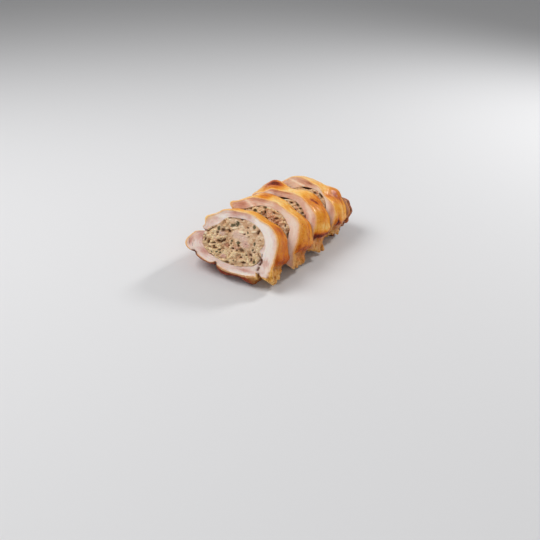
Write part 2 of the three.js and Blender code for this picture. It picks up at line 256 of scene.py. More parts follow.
        "rosy": [[10, 12, 2, 1.4, 0], [-8, 2, 5, 3, 0]],
        "fat_bits": [[0, 15.6, 3, 0.7, 8], [11.5, 16, 1.2, 0.6, -30]],
        "folds": [[(2, 13), (6, 12.6), (9, 15)], [(11, 12), (14, 10)]],
        "burns": [], "thick_skin": [[335, 8, 1.5]], "turned": [],
        "grooves": [[6, 6, 13, 0.7, 0.4], [10, 5, 17, 0.6, 0.3]],
        "flap": [343.5, 0.75, 0.42], "tips": [],
        "flesh": 0.54, "warmth": 0.5, "looseness": 1.2, "mottling": 1,
        "browning_and_shade": [
            [0, 0.42], [10, 0.5], [20, 0.52], [30, 0.54], [40, 0.6], [50, 0.6], [60, 0.5],
            [70, 0.28], [80, 0.2], [95, 0.16], [108, 0.34], [118, 0.58], [130, 0.62],
            [142, 0.5], [155, 0.34], [195, 0.5], [230, 0.72], [255, 0.86], [312, 0.88],
            [330, 0.76], [344, 0.66], [352, 0.56],
        ],
        "zones": [
            [128, 13, 13, 6, 0.4], [118, 6, 20.5, 2, -0.3], [43, 4, 11, 2, 0.32],
            [51, 3, 8, 2, 0.3], [47, 3, 9.5, 1.6, 0.26], [16, 12, 17, 3, -0.14],
            [6, 6, 12, 7, -0.26],
        ],
    },
    {
        "name": "slice_4",
        "x": -1, "y": 53.2, "lift": CUT_LIFT, "yaw": 7, "lean": 27, "roll": -2,
        "thickness": SLICE_THICKNESS,
        "outline": {
            "right": 31, "left": 32, "top": 22.5, "bottom": 23.5, "squareness": 2.5,
            "lobes": [
                [331, 9, 2], [300, 14, -3], [192, 12, 3], [120, 25, 3], [38, 26, -6.5],
                [235, 14, -2],
            ],
            "flare": [[48, 20, 6.5], [20, 25, 3], [95, 25, 2]],
        },
        "filling": {
            "right": 19, "left": 24, "top": 17, "bottom": 15.5, "squareness": 2.3,
            "lobes": [[140, 20, -2], [228, 18, -2]],
            "slits": [[98, 18, 1.6], [5, 25, 1.2]],
        },
        "grid": 150, "rear_rings": 16,
        "cracks": [],
        "fat_lines": [
            [[(-20, 20), (-12, 18.4), (-6, 17.4)], 0.8, 0],
            [[(8, 18.5), (14, 14.5), (18, 10), (20, 4)], 1.6, 0],
        ],
        "blushes": [[-2, 20.5, 8, 1.6, 0], [25, 6, 2.5, 6, -10]],
        "pits": [[12, 13, 1.4, 0.8, -30], [6, 14, 1.2, 0.6, 0], [-2, 12.5, 1, 0.7, 0]],
        "herbs": [[11, 14.5, 1.4, 1, -30], [-5, 11, 1, 1, 0]],
        "lumps": [[-2, 5, 5, 4, 0]],
        "rosy": [[8, 14, 2, 1.2, -20], [4, 2, 4, 3, 0]],
        "fat_bits": [[4, 16.2, 2.6, 0.6, -8]],
        "folds": [[(-4, 14), (2, 14.4), (8, 12.4)]],
        "burns": [], "thick_skin": [[335, 8, 1]], "turned": [],
        "grooves": [[352, 10, 6, 1, 0.4], [10, 12, 16, 1, 0.3]],
        "flap": [346, 0.4, 0.1], "tips": [],
        "flesh": 0.44, "warmth": 0.65, "looseness": 1.2, "mottling": 1,
        "browning_and_shade": [
            [0, 0.44], [10, 0.4], [20, 0.4], [30, 0.46], [40, 0.58], [50, 0.5], [60, 0.36],
            [75, 0.3], [100, 0.24], [120, 0.3], [150, 0.4], [195, 0.5], [230, 0.72],
            [255, 0.86], [312, 0.84], [335, 0.7], [346, 0.7], [352, 0.6],
        ],
        "zones": [
            [46, 10, 13, 4, 0.14], [30, 12, 17, 2.4, 0.16], [352, 5, 7, 3, 0.2],
            [16, 6, 9, 3, -0.12],
        ],
    },
]

END_PIECE = {
    "name": "end_piece",
    "x": 3.1, "y": 78.2, "lift": END_LIFT, "yaw": 6, "lean": 26, "roll": 0,
    "thickness": END_THICKNESS,
    "outline": {
        "right": 23.5, "left": 28, "top": 15, "bottom": 19, "squareness": 2.3,
        "lobes": [[10, 14, 3], [34, 11, 2.2], [62, 9, -1], [150, 14, 2], [320, 12, 2]],
        "flare": [],
    },
    "filling": {
        "right": 16, "left": 17, "top": 9, "bottom": 11, "squareness": 2.2,
        "lobes": [[120, 20, 1.5]],
        "slits": [],
    },
    "grid": 90, "rear_rings": 16,
    "pocket_depth": 0.55, "dome": 0.35,
    "cracks": [], "fat_lines": [], "blushes": [], "pits": [], "herbs": [], "lumps": [],
    "rosy": [], "fat_bits": [],
    "folds": [], "burns": [], "thick_skin": [[30, 70, -1.8]], "turned": [],
    "grooves": [[10, 40, 6, 1, 0.6]],
    "flap": [346, 0, 0], "tips": [],
    "flesh": 0.8, "warmth": 1, "looseness": 1, "mottling": 1,
    "browning_and_shade": [[0, 0.66], [60, 0.62], [120, 0.6], [200, 0.66], [270, 0.86], [330, 0.76]],
    "zones": [[200, 40, 8, 6, -0.1]],
}
ROW = SLICES + [END_PIECE]


# Noise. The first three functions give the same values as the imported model's relief.
def grid_value(i, j, k):
    i, j, k = (np.asarray(v).astype(np.int64).astype(np.uint32) for v in (i, j, k))
    mixed = (
        i * np.uint32(374761393)
        + j * np.uint32(668265263)
        + k * np.uint32(1440662683)
        + np.uint32(SEED)
    )
    mixed = (mixed ^ (mixed >> np.uint32(13))) * np.uint32(1274126177)
    return (mixed ^ (mixed >> np.uint32(16))).astype(float) / 2147483648 - 1


def noise(x, y, z):
    x, y, z = np.broadcast_arrays(
        np.asarray(x, float), np.asarray(y, float), np.asarray(z, float)
    )
    i, j, k = np.floor(x), np.floor(y), np.floor(z)
    u, v, w = ((t * t * (3 - 2 * t)) for t in (x - i, y - j, z - k))

    def edge(b, c):
        start = grid_value(i, b, c)
        return start + (grid_value(i + 1, b, c) - start) * u

    def side(c):
        start = edge(j, c)
        return start + (edge(j + 1, c) - start) * v

    front = side(k)
    return front + (side(k + 1) - front) * w


def round_noise(angle, bumps, along, seed):
    reach = bumps / (2 * np.pi)
    turn = np.radians(angle)
    return noise(reach * np.cos(turn) + seed, reach * np.sin(turn), along + seed)


def layered_noise(x, y, z, octaves=3):
    total = 0
    for octave in range(octaves):
        scale = 2**octave
        total = total + noise(x * scale + 17 * octave, y * scale, z * scale) / scale
    return total


def cells(x, y, seed):
    """Distances to the nearest and second nearest cell centre, and the nearest cell's value."""
    i, j = np.floor(x), np.floor(y)
    nearest = np.full(x.shape, 9.0)
    second = np.full(x.shape, 9.0)
    value = np.zeros(x.shape)
    for a in (-1, 0, 1):
        for b in (-1, 0, 1):
            centre_x = i + a + 0.5 + 0.45 * grid_value(i + a, j + b, seed)
            centre_y = j + b + 0.5 + 0.45 * grid_value(i + a, j + b, seed + 1)
            away = np.hypot(x - centre_x, y - centre_y)
            closer = away < nearest
            second = np.where(closer, nearest, np.minimum(second, away))
            value = np.where(closer, grid_value(i + a, j + b, seed + 2), value)
            nearest = np.where(closer, away, nearest)
    return nearest, second, value


def smooth_step(low, high, value):
    t = np.clip((value - low) / (high - low), 0, 1)
    return t * t * (3 - 2 * t)


# Form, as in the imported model
def lobe(angle, centre, half_width):
    away = (angle - centre + 540) % 360 - 180
    return np.exp(-((away / half_width) ** 2))


def outline_radius(outline, angle):
    across, up = np.cos(np.radians(angle)), np.sin(np.radians(angle))
    width = np.where(across > 0, outline["right"], outline["left"])
    height = np.where(up > 0, outline["top"], outline["bottom"])
    power = outline["squareness"]
    radius = (np.abs(across / width) ** power + np.abs(up / height) ** power) ** (-1 / power)
    for centre, half_width, rise in outline["lobes"]:
        radius = radius + rise * lobe(angle, centre, half_width)
    return radius


def filling_radius(part, angle):
    free = outline_radius(part["filling"], angle)
    return np.minimum(free, outline_radius(part["outline"], angle) - THINNEST_WALL)


def stuffing_gap(part, angle):
    gap = STUFFING_GAP
    for centre, half_width, width in part["filling"]["slits"]:
        gap = gap + width * lobe(angle, centre, half_width)
    return gap


def rind_relief(part, angle, depth):
    rounding = np.sqrt(np.sin(np.pi * np.clip(depth, 0, 1)).clip(0)) - 1
    curl = EDGE_ROUNDING * rounding
    for centre, half_width, rise in part["outline"]["flare"]:
        curl = curl + rise * depth * lobe(angle, centre, half_width)
    swell = 1 - np.exp(-depth * part["thickness"] / BELLY_ONSET)
    for centre, half_width, rise in BELLY:
        curl = curl + rise * swell * lobe(angle, centre, half_width)
    along = depth * part["thickness"]
    waves = RIND_RELIEF * round_noise(angle, WAVES_AROUND, along / 7, part["seed"] + 3.5)
    torn = lobe(angle, TORN_EDGE_ANGLE, TORN_EDGE_SPREAD)
    shreds = FRINGE_RELIEF * round_noise(angle, SHREDS_AROUND, along / 5, part["seed"] + 9.5)
    return curl + waves + torn * shreds


def slice_matrix(part):
    """From a slice's own frame, x right, y up its cut and z out of it, to the model's."""
    foot = Matrix.Translation((part["x"], part["y"], part["lift"]))
    turn = Matrix.Rotation(np.radians(part["yaw"]), 4, "Z")
    lean = Matrix.Rotation(np.radians(90 - part["lean"]), 4, "X")
    middle = Matrix.Translation((0, part["outline"]["bottom"], 0))
    roll = Matrix.Rotation(np.radians(part["roll"]), 4, "Z")
    shift = Matrix.Translation(ORIGIN)
    return np.array(shift @ foot @ turn @ lean @ middle @ roll)


def thickness_at(part, x, y):
    if part["next_cut"] is None:
        return np.full(np.shape(x), float(part["thickness"]))
    matrix = part["matrix"]
    start = np.stack([x, y, np.zeros_like(x)], -1) @ matrix[:3, :3].T + matrix[:3, 3]
    point, outward = part["next_cut"]
    free = ((point - start) @ outward) / (-matrix[:3, 2] @ outward) - CUT_CLEARANCE
    return np.minimum(part["thickness"], free)


def sag(part, y, behind):
    lean = np.radians(part["lean"])
    bottom = part["outline"]["bottom"]
    room = bottom + part["lift"] / np.cos(lean) - behind * np.tan(lean)
    lower = y * np.minimum(1, (room + PRESSED_FLAT) / (bottom + BELLY_MEAN))
    return np.where(y > 0, y, lower)


def place_in_slice(part, x, y, depth, relief):
    behind = depth * thickness_at(part, x, y)
    local = np.stack([x, sag(part, y, behind), -behind - relief], -1)
    matrix = part["matrix"]
    placed = local @ matrix[:3, :3].T + matrix[:3, 3]
    placed[..., 2] = np.maximum(placed[..., 2], 0)
    return placed, local


# Marks on a cut
def stroke_distance(x, y, path):
    nearest = np.full(np.shape(x), 1e9)
    for (ax, ay), (bx, by) in zip(path[:-1], path[1:]):
        run_x, run_y = bx - ax, by - ay
        t = ((x - ax) * run_x + (y - ay) * run_y) / (run_x**2 + run_y**2)
        t = np.clip(t, 0, 1)
        nearest = np.minimum(nearest, np.hypot(x - ax - t * run_x, y - ay - t * run_y))
    return nearest


def stroke_mask(x, y, stroke):
    path, width, _ = stroke
    wobble = 0.35 * noise(x / 1.6, y / 1.6, 4.5) + 0.3 * noise(x / 0.7, y / 0.7, 6.5)
    return np.exp(-(((stroke_distance(x, y, path) + wobble * width) / width) ** 2))


def spot_mask(x, y, spot, softness=0.35, raggedness=0.28):
    centre_x, centre_y, half_width, half_height, tilt = spot
    turn = np.radians(tilt)
    across = (x - centre_x) * np.cos(turn) + (y - centre_y) * np.sin(turn)
    up = (y - centre_y) * np.cos(turn) - (x - centre_x) * np.sin(turn)
    away = np.hypot(across / half_width, up / half_height)
    ragged = away + raggedness * noise(x / 0.9, y / 0.9, 2.5)
    return 1 - smooth_step(1 - softness, 1 + softness, ragged)


def most(masks, shape):
    total = np.zeros(shape)
    for mask in masks:
        total = np.maximum(total, mask)
    return total


# Meshes
def span(start, end, steps, eased=False):
    t = np.arange(steps) / steps
    if eased:
        t = 0.5 - 0.5 * np.cos(np.pi * t)
    return [
        (start[0] + (end[0] - start[0]) * v, start[1] + (end[1] - start[1]) * v) for v in t
    ]


def meat_profile(part):
    if "pocket_depth" in part:
        pocket = part["pocket_depth"]
        rows = span((0, pocket), (1, pocket), 6) + span((1, pocket), (1, 0), 6)
        rows += span((1, 0), (2, 0), 18) + span((2, 0), (2, 1), 40, True)
        return rows + span((2, 1), (0, 1), 64) + [(0, 1)]
    rows = span((1, 0), (2, 0), 34) + span((2, 0), (2, 1), 56, True)
    return rows + span((2, 1), (1, 1), 14) + span((1, 1), (1, 0), 8)


def make_object(name, points, faces, scalars, vectors):
    mesh = bpy.data.meshes.new(name)
    mesh.from_pydata((points * 0.001).tolist(), [], faces)
    mesh.polygons.foreach_set("use_smooth", [True] * len(mesh.polygons))
    for key, values in scalars.items():
        layer = mesh.attributes.new(key, "FLOAT", "POINT")
        layer.data.foreach_set("value", values.astype(np.float32).ravel())
    for key, values in vectors.items():
        layer = mesh.attributes.new(key, "FLOAT_VECTOR", "POINT")
        layer.data.foreach_set("vector", values.astype(np.float32).ravel())
    mesh.update()
    made = bpy.data.objects.new(name, mesh)
    bpy.context.scene.collection.objects.link(made)
    return made


def ring_faces(rows, around, closed):
    """Quads between rows of vertices round an axis. closed joins the last row to the first."""
    row = np.arange(rows if closed else rows - 1)[:, None]
    turn = np.arange(around)[None, :]
    above = (row + 1) % rows
    beside = (turn + 1) % around
    corners = [
        row * around + turn,
        above * around + turn,
        above * around + beside,
        row * around + beside,
    ]
    return np.stack([np.broadcast_to(c, (len(row), around)) for c in corners], -1).reshape(-1, 4)


def meat_shape(part):
    """Points of the fine meat mesh, with what its material needs to know at each."""
    around = END_AROUND if "dome" in part else SLICE_AROUND
    rows = np.array(meat_profile(part))
    radial = np.broadcast_to(rows[:, :1], (len(rows), around))
    depth = np.broadcast_to(rows[:, 1:], (len(rows), around))
    angle = np.broadcast_to(np.arange(around) * 360 / around, radial.shape)
    seed = part["seed"]
    thickness = part["thickness"]

    inner = filling_radius(part, angle)
    outer = outline_radius(part["outline"], angle)
    share = np.maximum(0, radial - 1)
    along = depth * thickness
    cos, sin = np.cos(np.radians(angle)), np.sin(np.radians(angle))

    # Fine relief of the rind: rings along the roll, blisters, and shreds where it is torn
    grooves = np.zeros(radial.shape)
    around_x, around_y = outer * cos, outer * sin
    rings = noise(around_x / 16, around_y / 16, along / 1.5 + seed)
    blisters = layered_noise(around_x / 2.4, around_y / 2.4, along / 2.4 + seed)
    torn = lobe(angle, TORN_EDGE_ANGLE, TORN_EDGE_SPREAD)
    shreds = layered_noise(around_x / 2.8, around_y / 2.8, along / 5 + seed + 40, 2)
    flap_angle, flap_rise, flap_roast = part["flap"]
    flap_edge = flap_angle + flap_rise * along + 3 * noise(along / 5, seed, 0.5)
    below_flap = (flap_edge - angle + 180) % 360 - 180
    under_flap = smooth_step(0, 5, below_flap) * (1 - smooth_step(30, 50, below_flap))
    lip = np.exp(-(((below_flap + 5) / 4) ** 2))
    spikes = smooth_step(0.1, 0.9, noise(around_x / 3.2, around_y / 3.2, along / 4.2 + seed + 90))
    fine = 0.05 * rings + 0.12 * blisters + torn * (0.9 * np.abs(shreds) - 0.3)
    fine = fine + 2.6 * spikes * lobe(angle, 331, 9)
    for centre, half_width, distance, half_depth, rise in part["tips"]:
        away = (along - distance) / half_depth
        fine = fine + rise * lobe(angle, centre, half_width) * np.exp(-(away**2))
    fine = fine + (0.7 * lip - 1.3 * under_flap) * smooth_step(1, 4, along)
    for centre, half_width, distance, half_depth, depth_in in part["grooves"]:
        wavering = along - distance - 0.8 * noise(around_x / 5, around_y / 5, seed + 70.5)
        groove = lobe(angle, centre, half_width) * np.exp(-((wavering / half_depth) ** 2))
        grooves = np.maximum(grooves, groove)
        fine = fine - depth_in * groove
    rind_out = rind_relief(part, angle, depth) + fine
    radius = np.minimum(radial, 1) * inner + share * (outer - inner) + share**3 * rind_out
    in_pocket = (radial <= 1) & (depth > 0) & (depth < 1) & ("dome" in part)
    radius = np.where(in_pocket, radial * inner, radius)
    x, y = radius * cos, radius * sin

    # Relief of the cut: slow swells, fibres round the ring, cracks and a lip of skin
    edge_distance = (1 - share) * (outer - inner)
    fibres = noise(x / 6, y / 6, edge_distance / 0.8 + seed)
    shaded_crack, crack_depth = np.zeros(x.shape), np.zeros(x.shape)
    for stroke in part["cracks"]:
        mask = stroke_mask(x, y, stroke)
        # The cracks' tint grows with their depth: partly the brown of the gap, partly painted shade
        shaded_crack = np.maximum(shaded_crack, mask * min(1, 0.35 + stroke[2]))
        crack_depth = np.maximum(crack_depth, mask * stroke[2])
    fade = 1 - smooth_step(0, 0.35, depth)
    burn = most([spot_mask(x, y, s, 0.4) for s in part["burns"]], x.shape) * (depth < 0.1)
    relief = MEAT_RELIEF * noise(x / 8, y / 8, seed)
    relief = relief + 0.09 * fibres + crack_depth + 0.5 * burn - 0.2 * np.exp(-(((edge_distance - 1) / 0.7) ** 2))
    relief = relief * fade
    if "dome" in part:
        fall = part["dome"] * (radial / 2) ** 4
        rough = (END_RELIEF / thickness) * noise(x / 6, y / 6, seed + 5.5)
        crust = layered_noise(x / 2.6, y / 2.6, seed + 30.5)
        rough = rough + (0.7 / thickness) * (np.abs(crust) - 0.4)
        domed = np.where(in_pocket, depth, depth * (1 - fall + rough * depth))
    else:
        domed = depth
    points, local = place_in_slice(part, x, y, domed, relief)
    points, local = points.reshape(-1, 3), local.reshape(-1, 3)

    # How roasted the rind is, from 0, pale, to 1, nearly black, with painted shade added on the underside and in
    # the grooves
    browning_and_shade = np.array(part["browning_and_shade"])
    wander = 4 * noise(around_x / 7, around_y / 7, along / 5 + seed + 60)
    roast_and_shade = np.interp((angle + wander) % 360, browning_and_shade[:, 0], browning_and_shade[:, 1], period=360)
    roast_and_shade = roast_and_shade - 0.2 * np.exp(-along / 0.9) * smooth_step(-0.7, -0.3, sin)
    uneven = layered_noise(around_x / 7, around_y / 7, along / 4 + seed)
    roast_and_shade = roast_and_shade + 0.1 * part["mottling"] * uneven
    scorch = layered_noise(around_x / 2, around_y / 2, along / 2 + seed + 80)
    roast_and_shade = roast_and_shade + 0.3 * smooth_step(0.85, 1.25, scorch)
    for centre, half_width, distance, half_depth, change in part["zones"]:
        spot = lobe(angle, centre, half_width) * np.exp(-(((along - distance) / half_depth) ** 2))
        roast_and_shade = roast_and_shade + change * spot
    # Painted shade: the grooves are darkened
    roast_and_shade = roast_and_shade + 0.2 * grooves + flap_roast * np.exp(-(((below_flap + 2) / 5) ** 2))

    on_rind = (radial >= 2) & (depth > 0)
    rind = np.where(on_rind, smooth_step(-0.1, 0.8, along), 0.0)
    turned = np.zeros(radial.shape)
    for centre, half_width, width in part["turned"]:
        turned = turned + width * lobe(angle, centre, half_width)
    uneven = edge_distance + 0.25 * turned * noise(x / 1.7, y / 1.7, seed + 15.5)
    edge = smooth_step(0.55 + 1.1 * turned, 0.1 + 0.5 * turned, uneven)
    rind = np.maximum(rind, edge * (depth <= 0))
    if "dome" in part:
        rind = np.maximum(rind, (depth >= 1) * 1.0)
    skin_width = 1.1 + 0.6 * noise(x / 9, y / 9, seed + 2.5) + 0.9 * lobe(angle, 20, 60)
    skin_width = skin_width + 0.6 * noise(x / 2.6, y / 2.6, seed + 3.5)
    for centre, half_width, wider in part["thick_skin"]:
        skin_width = skin_width + wider * lobe(angle, centre, half_width)
    skin_width = np.maximum(skin_width, 0.2)
    skin = np.exp(-((edge_distance / skin_width) ** 2)) * (depth < 0.5)
    flesh = part["flesh"] + 0.16 * layered_noise(x / 6, y / 6, seed + 11.5) + 0.07 * fibres
    for spot in part["blushes"]:
        flesh = flesh + 0.34 * spot_mask(x, y, spot, 0.9)
    for stroke in part["fat_lines"]:
        flesh = flesh - 0.34 * stroke_mask(x, y, stroke)
    scalars = {
        "rind": rind,
        "roast_and_shade": np.clip(roast_and_shade, 0, 1),
        "skin": skin,
        "flesh": np.clip(flesh, 0, 1),
        "shaded_crack": shaded_crack * fade,
        "burn": burn,
        "torn": torn * under_flap,
    }
    grain = np.stack([x / 9, y / 9, edge_distance / 1.3], -1).reshape(-1, 3)
    return points, {"place": local, "grain": grain}, scalars, len(rows), around


def make_meat(part):
    points, vectors, scalars, rows, around = meat_shape(part)
    faces = ring_faces(rows, around, "dome" not in part)
    made = make_object(
        part["name"] + "_roast_meat", points, faces.tolist(), scalars, vectors
    )
    if "dome" in part:
        weld_poles(made)
    return made


def weld_poles(made):
    """Joins the vertices that lie together at the ends of a profile on the axis."""
    import bmesh

    work = bmesh.new()
    work.from_mesh(made.data)
    bmesh.ops.remove_doubles(work, verts=work.verts, dist=1e-6)
    work.to_mesh(made.data)
    work.free()


def disc_grid(count):
    """Points of a square grid moved evenly onto a unit disc: angle in degrees and radius."""
    steps = np.linspace(-1, 1, count)
    a, b = np.meshgrid(steps, steps, indexing="xy")
    wide = np.abs(a) >= np.abs(b)
    with np.errstate(divide="ignore", invalid="ignore"):
        flat = np.where(a != 0, b / a, 0) * 45
        steep = 90 - np.where(b != 0, a / b, 0) * 45
    radius = np.where(wide, np.abs(a), np.abs(b))
    angle = np.where(wide, flat + np.where(a < 0, 180, 0), steep + np.where(b < 0, 180, 0))
    return angle % 360, radius


def rim_of_grid(count):
    """Indices of a square grid's edge, anticlockwise."""
    side = np.arange(count - 1)
    last = count - 1
    return np.concatenate([
        side, side * count + last, last * count + last - side, (last - side) * count,
    ])


def crumbs(part, x, y):
    """Relief of the stuffing's cut, into it, and what its material needs to know."""
    seed = part["seed"]
    warp_x = x + 1.5 * noise(x / 4, y / 4, seed + 21.5) + 0.5 * noise(x / 1.3, y / 1.3, seed + 22.5)
    warp_y = y + 1.2 * noise(x / 4, y / 4, seed + 23.5) + 0.5 * noise(x / 1.3, y / 1.3, seed + 24.5)
    near_large, second_large, tone_large = cells(warp_x / 5.4, warp_y / 3.6, seed + 50)
    near, second, tone = cells(warp_x / 2.9, warp_y / 2.1, seed + 55)
    near_fine, second_fine, tone_fine = cells(warp_x / 1.3, warp_y / 1.1, seed + 60)

    # The crumbs lie looser in some places than in others, most of all low on the left: there
    # rounded crumbs and raised edges stand between hollows, elsewhere finer seams show
    upper_right = 0.025 * x + 0.04 * y - part["looseness"]
    loose = smooth_step(-0.8, 0.6, noise(x / 6, y / 6, seed + 30.5) - upper_right)
    wall = 1 - smooth_step(0.04, 0.26, second_large - near_large)
    shaded_hollow = (1 - wall) * smooth_step(0.0, 0.9, tone_large) * (1 - near_large) * loose
    gap = 1 - smooth_step(0.0, 0.3, second - near)
    hole = (1 - gap) * smooth_step(0.5, 0.9, tone) * (0.35 + 0.65 * loose)
    dome = (1 - smooth_step(0.0, 0.7, near)) * smooth_step(0.6, -0.2, tone)
    shaded_seam = (1 - smooth_step(0.0, 0.34, second_fine - near_fine)) * (0.35 + 0.65 * loose)
    fold = np.zeros(x.shape)
    for path in part["folds"]:
        fold = np.maximum(fold, stroke_mask(x, y, [path, 0.8, 0]))

    rng = np.random.default_rng(SEED + int(seed))
    pits = list(part["pits"])
    herbs = list(part["herbs"])
    filling = part["filling"]
    for _ in range(RANDOM_SPOTS):
        away = 0.94 * np.sqrt(rng.random())
        turn = rng.random() * 2 * np.pi
        size = 0.18 + 0.36 * rng.random() ** 2
        spot = [
            away * filling["right"] * np.cos(turn), away * filling["bottom"] * np.sin(turn),
            size * (1.2 + rng.random()), size, rng.random() * 60 - 15,
        ]
        (herbs if rng.random() < 0.35 else pits).append(spot)

    shape = x.shape
    lump = most([spot_mask(x, y, s, 0.45) for s in part["lumps"]], shape)
    fat = most([spot_mask(x, y, s, 0.4) for s in part["fat_bits"]], shape)
    shaded_pit = most([spot_mask(x, y, s, 0.5) for s in pits], shape)
    shaded_halo = most([spot_mask(x, y, [*s[:2], 1.7 * s[2], 1.7 * s[3], s[4]], 0.7) for s in pits], shape)
    herb = most([spot_mask(x, y, s, 0.35, 0.5) for s in herbs], shape)
    rosy = most([spot_mask(x, y, s, 0.8) for s in part["rosy"]], shape)
    # Cracks darken the stuffing like its holes: partly their own colour, partly painted shade
    shaded_crack = most([min(1, 0.3 + s[2]) * stroke_mask(x, y, s) for s in part["cracks"]], shape)
    smooth = np.maximum(0.5 * lump, 0.7 * fat)
    grains = layered_noise(x / 0.9, y / 0.9, seed + 90.5, 2)

    relief = MEAT_RELIEF * noise(x / 8, y / 8, seed) + 0.07 * grains
    rough = 1.2 * shaded_hollow + 0.9 * hole + 0.3 * gap * (0.4 + 0.6 * loose) + 0.16 * shaded_seam
    rough = rough - 0.4 * dome * (0.45 + 0.55 * loose) - 0.25 * wall * loose - 0.6 * fold
    relief = relief + (1 - smooth) * rough
    relief = relief + 1.05 * shaded_pit + 0.25 * shaded_halo + 1.1 * shaded_crack - 0.35 * lump - 0.35 * fat - 0.2
    shaded_hollow = np.maximum(shaded_hollow, hole)
    cell_tint = np.sin(37 * tone)
    scalars = {
        # shaded_hollow darkens the hollows between crumbs: painted shade over the mince's own browner tan
        "shaded_hollow": shaded_hollow * (1 - smooth) * (1 - fold),
        # highlit_ridge is the raised edges and folds of the crumbs: cream in their own colour, lightened further
        # by a painted highlight
        "highlit_ridge": np.maximum(fold, 0.5 * wall * loose) * (1 - smooth),
        # shaded_seam darkens the gaps between crumbs: painted shade
        "shaded_seam": np.maximum(0.6 * shaded_seam, gap * (0.4 + 0.6 * loose)) * (1 - smooth) * (1 - fold),
        "tone": 0.5 + 0.1 * tone_large + 0.26 * cell_tint + 0.12 * tone_fine,
        # top lightens the most raised crumbs: a painted highlight
        "top": smooth_step(0.1, -0.75, relief),
        "loose": loose,
        # shaded_halo darkens the ground round each pit: painted shade
        "shaded_halo": shaded_halo,
        # shaded_pit is the dark of the holes and cracks: partly their own dark brown, partly painted shade
        "shaded_pit": np.maximum(shaded_pit, 0.9 * shaded_crack),
        "herb": herb * (1 - shaded_pit),
        "lump": lump,
        "rosy": rosy,
        "fat": fat,
    }
    return CRUMB_DEPTH * relief, scalars


def make_stuffing(part):
    count = part["grid"]
    angle, radius = disc_grid(count)
    reach = filling_radius(part, angle) - stuffing_gap(part, angle)
    x = (radius * reach * np.cos(np.radians(angle))).ravel()
    y = (radius * reach * np.sin(np.radians(angle))).ravel()
    end = part.get("pocket_depth", 1) * (0.94 if "dome" in part else 1)
    relief, scalars = crumbs(part, x, y)
    ragged = 0.5 + 0.5 * noise(x / 1.4, y / 1.4, part["seed"] + 33.5)
    rounding = 0.4 * ragged * smooth_step(0.965, 1, radius.ravel())
    layers_x, layers_y = [x], [y]
    layers_depth, layers_relief = [np.zeros_like(x)], [relief + rounding]

    rim = rim_of_grid(count)
    for ring in range(1, WALL_RINGS + 1):
        layers_x.append(x[rim])
        layers_y.append(y[rim])
        layers_depth.append(np.full(len(rim), end * ring / WALL_RINGS))
        layers_relief.append(np.zeros(len(rim)))
    rear_rings = part["rear_rings"]
    for ring in range(1, rear_rings + 1):
        scale = 1 - (ring / rear_rings) ** 1.4
        layers_x.append(x[rim] * scale)
        layers_y.append(y[rim] * scale)
        layers_depth.append(np.full(len(rim), float(end)))
        rear_relief, _ = crumbs(part, x[rim] * scale, y[rim] * scale)
        layers_relief.append(-0.6 * rear_relief * smooth_step(1, 0.95, scale))
    all_x, all_y = np.concatenate(layers_x), np.concatenate(layers_y)
    depth, depth_relief = np.concatenate(layers_depth), np.concatenate(layers_relief)
    points, local = place_in_slice(part, all_x, all_y, depth, depth_relief)

    extra = len(all_x) - len(x)
    wall_relief, wall_scalars = crumbs(part, all_x[len(x):], all_y[len(x):])
    scalars = {key: np.concatenate([scalars[key], wall_scalars[key]]) for key in scalars}
    cell = np.arange(count - 1)
    low = (cell[:, None] * count + cell[None, :]).ravel()
    front = np.stack([low, low + 1, low + count + 1, low + count], -1)
    loops = [rim] + [len(x) + len(rim) * n + np.arange(len(rim)) for n in range(WALL_RINGS + rear_rings)]
    sides = []
    for here, behind in zip(loops[:-1], loops[1:]):
        ahead_here, ahead_behind = np.roll(here, -1), np.roll(behind, -1)
        sides.append(np.stack([here, behind, ahead_behind, ahead_here], -1))
    faces = np.concatenate([front] + sides).tolist()
    made = make_object(part["name"] + "_mince", points, faces, scalars, {"place": local})
    weld_poles(made)
    return made


# Materials
def srgb(red, green, blue):
    """An eight-bit screen colour as linear red, green, blue and alpha."""
    share = np.array([red, green, blue]) / 255
    linear = np.where(share <= 0.04045, share / 12.92, ((share + 0.055) / 1.055) ** 2.4)
    return (*linear.tolist(), 1.0)


